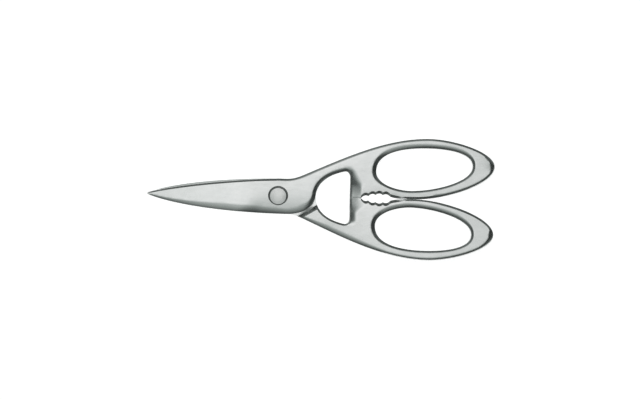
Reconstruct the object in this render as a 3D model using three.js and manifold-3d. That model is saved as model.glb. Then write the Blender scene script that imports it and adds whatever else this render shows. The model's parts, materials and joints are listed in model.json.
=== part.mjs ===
// All-steel kitchen scissors: two forged halves that cross at a screwed pivot. Between the arms lies a
// window whose lips lift bottle caps, and behind the lips a toothed jaw grips screw tops.
// Units are millimetres and +Z is up. The scissors lie closed and flat, blade tips towards -X, finger loops
// towards +X, front face up. A half is shaped around the pivot axis with the plane between the blades at
// z = 0. The rear half is the same form turned half a turn about the long axis.
import * as THREE from "three";
import { mergeVertices } from "three/addons/utils/BufferGeometryUtils.js";
import Module from "manifold-3d";

const wasm = await Module();
wasm.setup();

// Blade and pivot boss
const BLADE_LENGTH = 76.8; // pivot axis to the blade tip
const BOSS_RADIUS = 10.35; // pivot axis to the sides of the boss
const BOSS_THICKNESS = 3.7; // plane between the blades to the outer face of the boss
const TIP_WIDTH = 0.8;
const TIP_THICKNESS = 1.3;
const SPINE_ANGLE = 22; // degrees between the long axis and the spine at the tip
const EDGE_ANGLE = 17; // the same for the cutting edge
const SPINE_GRIND = 26; // pivot axis to where the blade starts to thin along its spine
const EDGE_GRIND = 9; // the same along the cutting edge
const EDGE_BEVEL = 1; // width of the cutting bevel
const PARTING_GAP = 0.3; // between the two halves
const HOLLOW = { start: 13, length: 60, width: 9, depth: 0.18 }; // hollow grind inside the blade

// Heel of the boss, and the shoulder on the other half that goes round it
const HEEL_START = 5; // pivot axis to where the side of the boss turns into the heel
const HEEL_REACH = 21.95; // pivot axis to the far side of the heel
const HEEL_RISE = 1; // the heel ends this far past the centre line
const HEEL_ANGLE = 84;
const SHOULDER_CLEARANCE = 1;
const SHOULDER_ANGLE = 31.5; // between the shoulder and the long axis
const SHOULDER_DRAFT = 1.5; // how far the shoulder leans back from its foot up to its chamfer
const SHOULDER_CHAMFER = { width: 0.6, drop: 0.45 };

// Arm, window and lip
const HANDLE_THICKNESS = 8;
const NECK_LENGTH = 14; // pivot axis to where the outer side of the arm runs straight
const NECK_RISE = 2.15; // how far the arm has left the side of the boss there
const ARM_ANGLE = 24;
const WINDOW_LENGTH = 19.75; // heel to lip
const WINDOW_HEIGHT = 15.2; // centre line to the far side of the window
const WINDOW_SLOPE = 12; // degrees, at the far side
const WINDOW_CORNER = 3.2;
const LIP_LENGTH = 6.65; // window to jaw
const LIP_SCOOP = { lead: 3, reach: 7.5, height: 17.2, depth: 2.6 }; // hollow that thins the lip
const SCOOP_FLATNESS = 4; // a hollow's ellipsoid is this many times as tall as the hollow is deep
const BRIDGE = 15.2; // window to finger hole

// Toothed jaw
const SCALLOPS = 4;
const SCALLOP_PITCH = 4.25;
const SCALLOP_DEPTH = 0.9;
const JAW_HEIGHT = 1.78; // how far the line of the teeth bows away from the lip
const JAW_TAIL = 10; // last tooth to where the loops meet
const JAW_CHAMFER = 0.6;

// Finger loop
const LOOP_LENGTH = 56.2; // the finger hole along the handle
const LOOP_HEIGHT = 24.95; // the finger hole across the handle
const RIM_INNER = 4.75; // rim between the hole and the centre line
const RIM_OUTER = 5.6;
const RIM_END = 12.95;
const RIM_FLAT = 0.5; // least flat between the roundings on both sides of the rim
const CONTACT_LENGTH = 4.3; // how far the two loops run side by side

// Rounded edges: how far each reaches in from the outline, and how far down from the face
const TIP_ROUND = { inset: 0.35, drop: 0.5 };
const SPINE_ROUND = { inset: 2, drop: 1.9 };
const BOSS_ROUND = { inset: 5, drop: 2.6 };
const NECK_ROUND = { inset: 1.6, drop: 2.6 };
const ARM_ROUND = { inset: 2.6, drop: 3.2 };
const LIP_ROUND = { inset: 0.3, drop: 0.3 };
const LOOP_ROUND = { inset: 1.5, drop: 2.6 };
const HOLE_ROUND = { inset: 2.6, drop: 3.2 };
const END_ROUND = { inset: 1.8, drop: 2.8 }; // far end of the loop, on the outer face
const END_BEVEL = { inset: 3.4, drop: 3.2 }; // the same on the inner face

// Pivot: stud from the front, screw from the rear, and two washers
const BARREL_DIAMETER = 7;
const BARREL_FLATS = 5.8; // across the flats that stop the stud from turning in the front half
const BORE_CLEARANCE = 0.1;
const HEAD_DIAMETER = 10.6;
const HEAD_CLEARANCE = 0.25;
const HEAD_CHAMFER = 0.4;
const HEAD_DOME = 0.2;
const SEAT_CHAMFER = 0.35;
const FRONT_SEAT_DEPTH = 1.5;
const REAR_SEAT_DEPTH = 1.9;
const SCREW_DIAMETER = 4;
const SCREW_LENGTH = 3.4; // threaded length below the head
const SLOT = { width: 1.4, depth: 0.7 };
const SPRING = { thickness: 0.35, rise: 0.3, margin: 0.3 };
const WASHER = { thickness: 0.5, rim: 3.4 };
const FACE_CLEARANCE = 0.05;

const STEEL = { color: 0xc6cac7, roughness: 0.32, metalness: 1 };
const BRIGHT_STEEL = { color: 0xbfc3c2, roughness: 0.22, metalness: 1 };
const BRONZE = { color: 0xa8814a, roughness: 0.4, metalness: 1 };

// Facets
const EDGE_RINGS = 4;
const ROUND_SEGMENTS = 40;
const SCOOP_SEGMENTS = 26;

// Places that follow from the sizes above
const halfGap = PARTING_GAP / 2;
const handleTop = HANDLE_THICKNESS / 2;
// The cutting bevel starts just below the inner face, so that the face trims it.
const sharpLevel = halfGap * 0.7;
const lipEdge = HEEL_REACH + WINDOW_LENGTH;
const jawStart = lipEdge + LIP_LENGTH;
const jawEnd = jawStart + SCALLOPS * SCALLOP_PITCH + JAW_TAIL;
const holeStart = lipEdge + BRIDGE;
const holeEnd = holeStart + LOOP_LENGTH;
const holeLow = halfGap + RIM_INNER;
const holeHigh = holeLow + LOOP_HEIGHT;
const handleEnd = holeEnd + RIM_END;
const barrelRadius = BARREL_DIAMETER / 2;
const headRadius = HEAD_DIAMETER / 2;
const washerFace = WASHER.thickness / 2 + FACE_CLEARANCE;
const frontSeat = BOSS_THICKNESS - FRONT_SEAT_DEPTH;
const rearSeat = BOSS_THICKNESS - REAR_SEAT_DEPTH;
const springTop = rearSeat + FACE_CLEARANCE + SPRING.thickness + SPRING.rise;
const screwSeat = springTop + FACE_CLEARANCE;

const { lerp, smoothstep, degToRad } = THREE.MathUtils;

function at(x, y) {
  return new THREE.Vector2(x, y);
}

// A curve that leaves one point and reaches another at given angles. The pulls say how far it keeps to each
// angle, as shares of the distance between the points.
function bend(from, fromAngle, to, toAngle, fromPull = 0.33, toPull = 0.33) {
  const reach = from.distanceTo(to);
  const heading = (angle) => at(Math.cos(degToRad(angle)), Math.sin(degToRad(angle)));
  const leave = from.clone().addScaledVector(heading(fromAngle), reach * fromPull);
  const arrive = to.clone().addScaledVector(heading(toAngle), -reach * toPull);
  return new THREE.CubicBezierCurve(from, leave, arrive, to);
}

function straight(from, to) {
  return new THREE.LineCurve(from, to);
}

// The edge at one place of a run, from a list of [place, edge] pairs that it passes through.
function edgeAt(edges, place) {
  const next = Math.max(1, edges.findIndex(([end]) => end >= place));
  const [start, from] = edges[next - 1];
  const [end, to] = edges[next];
  const share = (place - start) / (end - start);
  const bevels = [from.bevel ?? 0, to.bevel ?? 0];
  return {
    inset: lerp(from.inset, to.inset, share),
    drop: lerp(from.drop, to.drop, share),
    bevel: lerp(...bevels, share),
  };
}

// Stations along a curve, each a point of the outline with the edge and the face height it carries.
function run(curve, steps, edges, topAt, from = 0, to = 1) {
  const stations = [];
  for (let i = 0; i < steps; i += 1) {
    const share = i / steps;
    const point = curve.getPoint(lerp(from, to, share));
    stations.push({ point, edge: edgeAt(edges, share), top: topAt(point.x) });
  }
  return stations;
}

// Height of the outer face above the plane between the blades: it falls towards the tip and rises to the
// handle.
function faceHeight(grind) {
  return (x) => {
    const toTip = THREE.MathUtils.clamp((-grind - x) / (BLADE_LENGTH - grind), 0, 1);
    const boss = lerp(BOSS_THICKNESS, handleTop, smoothstep(x, HEEL_START, HEEL_REACH));
    return lerp(boss, TIP_THICKNESS, toTip);
  };
}

const onHandle = () => handleTop;

// The heel, and the outer side of the arm, which two neighbouring forms share.
const heel = bend(at(HEEL_START, -BOSS_RADIUS), 0, at(HEEL_REACH, HEEL_RISE), HEEL_ANGLE, 0.38, 0.41);
const loopTop = at(lerp(holeStart, holeEnd, 0.55), holeHigh + RIM_OUTER);
const neckEnd = at(NECK_LENGTH, BOSS_RADIUS + NECK_RISE);
const armSide = bend(neckEnd, ARM_ANGLE, loopTop, 0);
const ARM_SPLIT = 0.3; // share of the arm's side that lies beside the window

// Spine, heel and window side of a half, from the tip to the window's corner.
function lowerRail() {
  const top = faceHeight(SPINE_GRIND);
  const tip = at(-BLADE_LENGTH, -TIP_WIDTH / 2);
  const spine = bend(tip, -SPINE_ANGLE, heel.v0, 0, 0.22, 0.36);
  const corner = at(lipEdge - WINDOW_CORNER, WINDOW_HEIGHT);
  const window = bend(heel.v3, HEEL_ANGLE, corner, WINDOW_SLOPE, 0.4, 0.34);
  return [
    ...run(spine, 14, [[0, TIP_ROUND], [0.55, SPINE_ROUND], [1, BOSS_ROUND]], top),
    ...run(heel, 10, [[0, BOSS_ROUND], [1, ARM_ROUND]], top),
    ...run(window, 7, [[0, ARM_ROUND], [1, ARM_ROUND]], top),
  ];
}

// Cutting edge, neck and the start of the arm, from the tip, with as many stations as the lower rail.
function upperRail() {
  const top = faceHeight(EDGE_GRIND);
  const tip = at(-BLADE_LENGTH, TIP_WIDTH / 2);
  const boss = at(0, BOSS_RADIUS);
  const tipBevel = { inset: TIP_ROUND.inset, drop: TIP_THICKNESS, bevel: 1 };
  const bevel = { inset: EDGE_BEVEL, drop: BOSS_THICKNESS, bevel: 1 };
  const cuttingEdge = bend(tip, EDGE_ANGLE, boss, 3, 0.2, 0.38);
  const neck = bend(boss, 0, neckEnd, ARM_ANGLE, 0.36, 0.48);
  return [
    ...run(cuttingEdge, 15, [[0, tipBevel], [0.3, bevel], [0.85, bevel], [1, NECK_ROUND]], top),
    ...run(neck, 7, [[0, NECK_ROUND], [1, ARM_ROUND]], top),
    ...run(armSide, 9, [[0, ARM_ROUND], [1, ARM_ROUND]], top, 0, ARM_SPLIT),
  ];
}

// Outline of the handle from the window's corner, along the lip and the centre line and round the loop to
// the arm. The edge at the loop's far end is given, because it differs between the two faces.
function handleOutline(endEdge, hole) {
  const corner = at(lipEdge - WINDOW_CORNER, WINDOW_HEIGHT);
  const lipTop = at(lipEdge, WINDOW_HEIGHT - WINDOW_CORNER);
  const lipFoot = at(lipEdge, halfGap);
  const contact = at(jawEnd + CONTACT_LENGTH, halfGap);
  const far = at(handleEnd, lerp(holeLow, holeHigh, 0.6));
  const turn = bend(corner, WINDOW_SLOPE, lipTop, -90, 0.42, 0.42);
  const parting = straight(lipFoot, contact);
  const under = bend(contact, 0, far, 90, 0.34, 0.21);
  const over = bend(far, 90, loopTop, 180, 0.21, 0.35);
  const loop = rimRound(LOOP_ROUND, 0.35);
  const end = { point: armSide.getPoint(ARM_SPLIT), edge: { ...ARM_ROUND, bevel: 0 }, top: handleTop };
  return [
    ...run(turn, 5, [[0, ARM_ROUND], [1, LIP_ROUND]], onHandle),
    ...run(straight(lipTop, lipFoot), 2, [[0, LIP_ROUND], [1, LIP_ROUND]], onHandle),
    ...run(parting, 10, [[0, LIP_ROUND], [0.7, LIP_ROUND], [1, loop]], onHandle),
    ...run(under, 13, [[0, loop], [0.6, loop], [1, endEdge]], onHandle),
    ...run(over, 14, [[0, endEdge], [0.5, loop], [1, loop]], onHandle),
    ...run(armSide, 12, [[0, loop], [0.6, ARM_ROUND], [1, ARM_ROUND]], onHandle, 1, ARM_SPLIT),
    end,
  ].map((station) => besideHole(station, hole));
}

// A station with its rounding kept clear of the finger hole's.
function besideHole({ point, edge, top }, hole) {
  const wall = Math.min(...hole.map((other) => other.point.distanceTo(point) - other.edge.inset));
  return { point, edge: { ...edge, inset: Math.min(edge.inset, wall - RIM_FLAT) }, top };
}

// The loop's rim is rounded from both sides, so each rounding keeps to its share of the thinnest rim.
function rimRound(round, share) {
  const inset = Math.min(round.inset, share * Math.min(RIM_INNER, RIM_OUTER));
  return { inset, drop: Math.min(round.drop, 0.45 * HANDLE_THICKNESS) };
}

// The egg-shaped finger hole, clockwise, in four curves between its outermost points.
function fingerHole() {
  const left = at(holeStart, lerp(holeLow, holeHigh, 0.44));
  const top = at(lerp(holeStart, holeEnd, 0.53), holeHigh);
  const right = at(holeEnd, lerp(holeLow, holeHigh, 0.6));
  const bottom = at(lerp(holeStart, holeEnd, 0.36), holeLow);
  const round = rimRound(HOLE_ROUND, 0.58);
  const edges = [[0, round], [1, round]];
  const quarters = [
    bend(left, 90, top, 0, 0.35, 0.4),
    bend(top, 0, right, -90, 0.36, 0.3),
    bend(right, -90, bottom, 180, 0.24, 0.33),
    bend(bottom, 180, left, 90, 0.34, 0.33),
  ];
  return quarters.flatMap((quarter) => run(quarter, 10, edges, onHandle));
}

// Directions into the material at each station of an outline that keeps the material on its left.
function inwardAt(stations) {
  const count = stations.length;
  const normals = stations.map(({ point }, i) => {
    const along = stations[(i + 1) % count].point.clone().sub(point).normalize();
    return at(-along.y, along.x);
  });
  return normals.map((after, i) => {
    const before = normals[(i + count - 1) % count];
    const middle = before.clone().add(after).normalize();
    return middle.divideScalar(Math.max(0.5, middle.dot(after)));
  });
}

// Collects the vertices and triangles of a closed form.
class Skin {
  positions = [];
  triangles = [];

  vertex(x, y, z) {
    this.positions.push(x, y, z);
    return this.positions.length / 3 - 1;
  }

  quad(a, b, c, d) {
    this.triangles.push(a, b, c, a, c, d);
  }

  // Joins two closed rings of as many vertices, the second lying above or inside the first.
  band(first, second) {
    first.forEach((from, i) => {
      const next = (i + 1) % first.length;
      this.quad(from, first[next], second[next], second[i]);
    });
  }

  // Covers a flat outline, with its holes, facing up or down.
  cover(rings, facesUp) {
    const flat = rings.map((ring) => ring.map((v) => at(this.positions[3 * v], this.positions[3 * v + 1])));
    const order = rings.flat();
    for (const [a, b, c] of THREE.ShapeUtils.triangulateShape(flat[0], flat.slice(1))) {
      const corners = [a, b, c].map((i) => flat.flat()[i]);
      const upward = THREE.ShapeUtils.area(corners) > 0;
      this.triangles.push(order[a], ...(upward === facesUp ? [order[b], order[c]] : [order[c], order[b]]));
    }
  }

  geometry() {
    const made = new THREE.BufferGeometry();
    made.setAttribute("position", new THREE.Float32BufferAttribute(this.positions, 3));
    return made.setIndex(this.triangles);
  }
}

// The rings of vertices that round one outline off, from its side up to its face, or down for side = -1.
function edgeRings(skin, stations, side) {
  const inward = inwardAt(stations);
  const rings = [];
  for (let k = 0; k <= EDGE_RINGS; k += 1) {
    const share = k / EDGE_RINGS;
    const turn = (share * Math.PI) / 2;
    rings.push(stations.map(({ point, edge, top }, i) => {
      const inset = edge.inset * lerp(1 - Math.cos(turn), share, edge.bevel);
      const foot = Math.max(top - edge.drop, sharpLevel);
      const height = lerp(foot, top, lerp(Math.sin(turn), share, edge.bevel));
      const place = point.clone().addScaledVector(inward[i], inset);
      return skin.vertex(place.x, place.y, side * height);
    }));
  }
  return rings;
}

// The forging before it is machined: blade and boss are a strip between two rails, the handle is a rounded
// plate.
function forging() {
  const lower = lowerRail();
  const upper = upperRail();
  const hole = fingerHole();
  const skin = new Skin();
  const middle = [];
  for (const side of [1, -1]) {
    const handle = handleOutline(side > 0 ? END_ROUND : END_BEVEL, hole);
    const outline = [...lower, ...handle, ...upper.toReversed()];
    const outer = edgeRings(skin, outline, side);
    const inner = edgeRings(skin, hole, side);
    for (const rings of [outer, inner]) {
      for (let k = 0; k < EDGE_RINGS; k += 1) {
        const pair = side > 0 ? [rings[k], rings[k + 1]] : [rings[k + 1], rings[k]];
        skin.band(...pair);
      }
    }
    const face = outer[EDGE_RINGS];
    const opposite = face.toReversed();
    for (let i = 0; i < lower.length; i += 1) {
      const corners = [face[i], face[i + 1], opposite[i + 1], opposite[i]];
      skin.quad(...(side > 0 ? corners : corners.toReversed()));
    }
    skin.cover([face.slice(lower.length, lower.length + handle.length), inner[EDGE_RINGS]], side > 0);
    middle.push([outer[0], inner[0]]);
  }
  middle[0].forEach((ring, i) => skin.band(middle[1][i], ring));
  return solid(skin.geometry());
}

// A closed mesh as a solid that can be joined and cut.
function solid(geometry) {
  geometry.deleteAttribute("normal");
  geometry.deleteAttribute("uv");
  const merged = mergeVertices(geometry);
  const corners = merged.index.array;
  const triangles = [];
  for (let i = 0; i < corners.length; i += 3) {
    const [a, b, c] = corners.slice(i, i + 3);
    if (a !== b && b !== c && c !== a) triangles.push(a, b, c);
  }
  const vertProperties = merged.attributes.position.array;
  const triVerts = new Uint32Array(triangles);
  return new wasm.Manifold(new wasm.Mesh({ numProp: 3, vertProperties, triVerts }));
}

// A round form about the pivot axis, from a profile of [radius, height] pairs that runs upwards on its outer
// side.
function turned(profile) {
  const points = profile.map(([radius, height]) => at(radius, height));
  return solid(new THREE.LatheGeometry(points, ROUND_SEGMENTS).rotateX(Math.PI / 2));
}

function cylinder(radius, low, high) {
  return turned([[0, low], [radius, low], [radius, high], [0, high]]);
}

function box(width, depth, low, high) {
  const made = new THREE.BoxGeometry(width, depth, high - low);
  return solid(made.translate(0, 0, (low + high) / 2));
}

// A shallow hollow in a face: the end of an ellipsoid that is as wide as given where it meets the face. The
// centre lies in the face, and side is 1 where the face looks up.
function scoop(centre, width, depth, side) {
  const height = SCOOP_FLATNESS * depth;
  const swell = 1 / Math.sqrt(1 - (1 - 1 / SCOOP_FLATNESS) ** 2);
  const ball = new THREE.SphereGeometry(1, 2 * SCOOP_SEGMENTS, SCOOP_SEGMENTS).rotateX(Math.PI / 2);
  ball.scale(width.x * swell, width.y * swell, height);
  return solid(ball.translate(centre.x, centre.y, centre.z + side * (height - depth)));
}

// Everything behind the shoulder line goes from the inner side of a half, so that the other half fits there.
function lapCut() {
  const away = at(Math.sin(degToRad(SHOULDER_ANGLE)), Math.cos(degToRad(SHOULDER_ANGLE)));
  const reaches = heel.getPoints(20).map((point) => away.dot(at(point.x, -point.y)));
  const shoulder = Math.max(...reaches) + SHOULDER_CLEARANCE;
  const far = 2 * BLADE_LENGTH;
  const depth = HANDLE_THICKNESS;
  const mouth = handleTop - SHOULDER_CHAMFER.drop;
  const top = shoulder + SHOULDER_DRAFT;
  const flare = (SHOULDER_CHAMFER.width / SHOULDER_CHAMFER.drop) * (depth - mouth);
  const section = new THREE.Shape([
    at(-far, halfGap),
    at(-far, -depth),
    at(top + flare, -depth),
    at(top, -mouth),
    at(shoulder, halfGap),
  ]);
  const extrusion = { depth: 2 * far, bevelEnabled: false };
  const cut = new THREE.ExtrudeGeometry(section, extrusion).translate(0, 0, -far);
  const across = new THREE.Vector3(away.x, away.y, 0);
  const up = new THREE.Vector3(0, 0, 1);
  const along = across.clone().cross(up);
  return solid(cut.applyMatrix4(new THREE.Matrix4().makeBasis(across, up, along)));
}

// The line of the teeth bows away from the centre line, with a round bite between each two teeth.
function jawLine() {
  const tooth = (i) => {
    const bow = Math.sin((Math.PI * i) / (SCALLOPS + 1));
    return at(jawStart + i * SCALLOP_PITCH, halfGap + JAW_HEIGHT * bow);
  };
  const line = [];
  const steps = 5;
  for (let i = 0; i < SCALLOPS; i += 1) {
    for (let step = 0; step < steps; step += 1) {
      const share = step / steps;
      const point = tooth(i).lerp(tooth(i + 1), share);
      point.y += 4 * SCALLOP_DEPTH * share * (1 - share);
      line.push(point);
    }
  }
  const tail = bend(tooth(SCALLOPS), -22, at(jawEnd, halfGap), 0, 0.25);
  return [...line, ...tail.getPoints(4)];
}

// The jaw's opening as a cut through the handle, wider at both faces so that the teeth are chamfered.
function jawCut() {
  const skin = new Skin();
  const line = jawLine();
  const below = -2 * PARTING_GAP;
  const beyond = JAW_CHAMFER;
  const levels = [
    [-handleTop - beyond, JAW_CHAMFER + beyond],
    [-handleTop + JAW_CHAMFER, 0],
    [handleTop - JAW_CHAMFER, 0],
    [handleTop + beyond, JAW_CHAMFER + beyond],
  ];
  const rings = levels.map(([height, shift]) => {
    const upper = line.toReversed().map((point) => skin.vertex(point.x, point.y + shift, height));
    return [skin.vertex(jawStart, below, height), skin.vertex(jawEnd, below, height), ...upper];
  });
  rings.slice(1).forEach((ring, i) => skin.band(rings[i], ring));
  skin.cover([rings[0]], false);
  skin.cover([rings.at(-1)], true);
  return solid(skin.geometry());
}

// The seat for a pivot head: a flat-bottomed recess with a chamfered mouth.
function seatCut(seat) {
  const radius = headRadius + HEAD_CLEARANCE;
  const mouth = BOSS_THICKNESS - SEAT_CHAMFER;
  const above = HANDLE_THICKNESS;
  const flare = radius + above - mouth;
  return turned([[0, seat], [radius, seat], [radius, mouth], [flare, above], [0, above]]);
}

// The hole for the barrel: round where the half turns on it, with two flats where the barrel is held.
function boreCut(keyed) {
  const round = cylinder(barrelRadius + BORE_CLEARANCE, -HANDLE_THICKNESS, HANDLE_THICKNESS);
  if (!keyed) return round;
  const width = BARREL_FLATS + 2 * BORE_CLEARANCE;
  return round.intersect(box(2 * BARREL_DIAMETER, width, -HANDLE_THICKNESS, HANDLE_THICKNESS));
}

// One half: the forging with its lap, pivot recesses, lip scoops, jaw and hollow grind cut.
function half(seat, keyed) {
  const lip = (side) => {
    const centre = new THREE.Vector3(lipEdge - LIP_SCOOP.lead, 0, side * handleTop);
    return scoop(centre, at(LIP_SCOOP.lead + LIP_SCOOP.reach, LIP_SCOOP.height), LIP_SCOOP.depth, side);
  };
  const hollowMiddle = new THREE.Vector3(-HOLLOW.start - HOLLOW.length / 2, 0, halfGap);
  const hollow = scoop(hollowMiddle, at(HOLLOW.length / 2, HOLLOW.width / 2), HOLLOW.depth, -1);
  const washerSeat = cylinder(barrelRadius + WASHER.rim + HEAD_CLEARANCE, -BOSS_THICKNESS, washerFace);
  const cuts = [lapCut(), seatCut(seat), boreCut(keyed), washerSeat, lip(1), lip(-1), jawCut(), hollow];
  return cuts.reduce((body, cut) => body.subtract(cut), forging());
}

// Outer side of a pivot head, upwards from its seat to the middle of its dome.
function headProfile(seat) {
  const rim = BOSS_THICKNESS;
  const crown = headRadius - HEAD_CHAMFER;
  const dome = [0, 0.35, 0.7].map((share) => {
    return [crown * (1 - share), rim + HEAD_DOME * (1 - (1 - share) ** 2)];
  });
  return [[headRadius, seat], [headRadius, rim - HEAD_CHAMFER], ...dome, [0, rim + HEAD_DOME]];
}

// The front button with its barrel, which is flat on two sides inside the front half and threaded from the
// rear.
function pivotStud() {
  const seat = frontSeat + FACE_CLEARANCE;
  const thread = SCREW_DIAMETER / 2;
  const threadEnd = SCREW_LENGTH + BORE_CLEARANCE - screwSeat;
  const body = turned([
    [0, threadEnd],
    [thread, threadEnd],
    [thread, -springTop],
    [barrelRadius, -springTop],
    [barrelRadius, seat],
    ...headProfile(seat),
  ]);
  const flat = (side) => box(BARREL_DIAMETER, BARREL_DIAMETER, washerFace, seat)
    .translate(0, side * (BARREL_FLATS + BARREL_DIAMETER) / 2, 0);
  return body.subtract(flat(1)).subtract(flat(-1));
}

// The rear screw, drawn with its head up.
function pivotScrew() {
  const shank = SCREW_DIAMETER / 2 - BORE_CLEARANCE;
  const body = turned([
    [0, screwSeat - SCREW_LENGTH],
    [shank, screwSeat - SCREW_LENGTH],
    [shank, screwSeat],
    ...headProfile(screwSeat),
  ]);
  return body.subtract(box(2 * HEAD_DIAMETER, SLOT.width, BOSS_THICKNESS - SLOT.depth, HANDLE_THICKNESS));
}

// The coned washer under the screw's head, drawn with the head's side up.
function springWasher() {
  const inner = barrelRadius + BORE_CLEARANCE;
  const outer = headRadius - SPRING.margin;
  const low = rearSeat + FACE_CLEARANCE;
  const raised = low + SPRING.rise;
  return turned([
    [inner, raised],
    [outer, low],
    [outer, low + SPRING.thickness],
    [inner, raised + SPRING.thickness],
    [inner, raised],
  ]);
}

function bearingWasher() {
  const inner = barrelRadius + BORE_CLEARANCE;
  const outer = barrelRadius + WASHER.rim;
  const face = WASHER.thickness / 2;
  return turned([[inner, -face], [outer, -face], [outer, face], [inner, face], [inner, -face]]);
}

function piece(name, body, material) {
  const { vertProperties, triVerts } = body.getMesh();
  const geometry = new THREE.BufferGeometry();
  geometry.setAttribute("position", new THREE.BufferAttribute(vertProperties, 3));
  geometry.setIndex(new THREE.BufferAttribute(triVerts, 1));
  geometry.computeVertexNormals();
  const mesh = new THREE.Mesh(geometry, new THREE.MeshStandardMaterial(material));
  mesh.name = name;
  return mesh;
}

const front = new THREE.Group();
front.add(
  piece("front_half", half(frontSeat, true), STEEL),
  piece("pivot_stud", pivotStud(), BRIGHT_STEEL),
  piece("bearing_washer", bearingWasher(), BRONZE),
);

const rear = new THREE.Group();
rear.rotation.x = Math.PI;
rear.add(
  piece("rear_half", half(rearSeat, false), STEEL),
  piece("pivot_screw", pivotScrew(), BRIGHT_STEEL),
  piece("spring_washer", springWasher(), BRIGHT_STEEL),
);

// The origin is under the middle of the closed scissors, on the surface that they lie on.
const scissors = new THREE.Group();
scissors.position.set((BLADE_LENGTH - handleEnd) / 2, 0, Math.max(handleTop, BOSS_THICKNESS + HEAD_DOME));
scissors.add(front, rear);

export default scissors;
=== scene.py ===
"""Kitchen scissors of satin stainless steel, lying closed on a pale floor: two forged halves on a
screwed pivot.

A half is shaped in millimetres around the pivot axis, with the plane between the blades at z = 0,
and is then set into the frame in metres. The rear half is the same form turned half a turn about
the long axis.
"""

import json
import math
from collections import namedtuple

import bpy
import numpy as np
from mathutils import Matrix, Vector
from mathutils.geometry import delaunay_2d_cdt
from mathutils.kdtree import KDTree


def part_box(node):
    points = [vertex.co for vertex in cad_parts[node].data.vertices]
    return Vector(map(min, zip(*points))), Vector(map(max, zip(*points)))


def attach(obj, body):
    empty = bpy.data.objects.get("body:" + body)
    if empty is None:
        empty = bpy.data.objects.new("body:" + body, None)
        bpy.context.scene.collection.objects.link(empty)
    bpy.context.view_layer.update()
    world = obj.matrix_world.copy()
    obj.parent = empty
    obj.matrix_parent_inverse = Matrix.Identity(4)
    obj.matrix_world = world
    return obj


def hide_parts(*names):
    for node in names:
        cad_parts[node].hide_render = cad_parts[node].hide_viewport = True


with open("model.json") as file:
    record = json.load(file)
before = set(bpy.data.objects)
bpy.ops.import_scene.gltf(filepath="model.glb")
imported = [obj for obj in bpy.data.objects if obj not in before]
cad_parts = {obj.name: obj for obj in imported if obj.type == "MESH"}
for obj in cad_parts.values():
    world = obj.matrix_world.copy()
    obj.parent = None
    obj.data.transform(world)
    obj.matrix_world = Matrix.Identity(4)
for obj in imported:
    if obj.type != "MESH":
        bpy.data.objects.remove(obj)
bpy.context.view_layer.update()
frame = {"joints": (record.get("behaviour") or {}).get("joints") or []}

# Places taken from the frame
MM = 0.001
PIVOT = Vector(frame["joints"][0]["pos_m"])
front_low, front_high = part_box("front_half")
stud_low, stud_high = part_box("pivot_stud")
_, screw_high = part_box("pivot_screw")
BLADE_LENGTH = (PIVOT.x - front_low.x) / MM
HANDLE_END = (front_high.x - PIVOT.x) / MM
HANDLE_TOP = (front_high.z - PIVOT.z) / MM
LOOP_SIDE = (front_high.y - PIVOT.y) / MM
HEAD_RADIUS = (stud_high.x - stud_low.x) / 2 / MM
HEAD_TOP = (stud_high.z - PIVOT.z) / MM
BARREL_END = (stud_low.z - PIVOT.z) / MM
SCREW_END = (PIVOT.z - screw_high.z) / MM
CLEAR_HEIGHT = 2 * HANDLE_TOP  # beyond every face

# Blade and pivot boss
BOSS_RADIUS = 10.35
BOSS_THICKNESS = 3.7
TIP_WIDTH = 0.8
TIP_THICKNESS = 1.3
SPINE_ANGLE = 22
EDGE_ANGLE = 17
EDGE_END_ANGLE = 3
SPINE_GRIND = 26  # where the grinding starts at the spine, from the pivot towards the tip
EDGE_GRIND = 9  # and at the cutting edge
GRIND_BLEND = 4
HALF_GAP = 0.15  # from the plane between the blades to each inner face
PARTING = 0.01  # from the centre line to the lips and the loops
SHARP_LEVEL = 0.7 * HALF_GAP  # the lowest that an edge goes
BOSS_BOW = {"start": 3.6, "drop": 0.9, "fade": 14}
SPINE_BEVEL = {"width": 1.3, "drop": 0.5, "fade": 12, "start": 0.01, "end": 0.99}
HOLLOW = {"start": 13, "length": 60, "width": 9, "depth": 0.18}

# Heel and shoulder
HEEL_START = 5
HEEL_REACH = 21.95
HEEL_RISE = 1
HEEL_ANGLE = 84
SHOULDER_CLEARANCE = 0.75
SHOULDER_ANGLE = 31.5
SHOULDER_DRAFT = 1.5
SHOULDER_CHAMFER = {"width": 0.9, "drop": 0.66}
SHOULDER_FOOT = {"width": 0.9, "rise": 0.63}
SHOULDER_EASE = {"width": 0.7, "rise": 0.14}

# Arm, window and lip
NECK_LENGTH = 14
NECK_RISE = 2.15
ARM_ANGLE = 24
WINDOW_LENGTH = 19.75
WINDOW_HEIGHT = 15.2
WINDOW_SLOPE = 12
WINDOW_CORNER = 3.2
LIP_LENGTH = 6.65
LIP_DISH = {
    "length": 6.85, "slope": 0.18, "top_slope": 0.28, "bend": 7.5, "blend": 4.5,
    "start": 8.8, "slant": 0.53, "curve": 0.062, "steepest": 0.31, "height": 19,
}
LIP_ROLL = {
    "length": 10, "corner_length": 4.4, "slope": 0.16, "corner_slope": 0.3, "power": 1.6,
    "bend": 3.2, "blend": 6, "height": 15.8, "fade": 3,
}
SCOOP_FLATNESS = 4  # half an ellipsoid's height over the depth that it cuts
BRIDGE = 15.2  # from the lip to the finger hole

# Toothed jaw
SCALLOPS = 4
SCALLOP_PITCH = 4.25
SCALLOP_DEPTH = 0.9
JAW_HEIGHT = 2.1
JAW_TAIL = 10
JAW_TAIL_ANGLE = 22
JAW_BEVEL = {"width": 1.8, "drop": 1.26, "least": 0.4}

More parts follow.
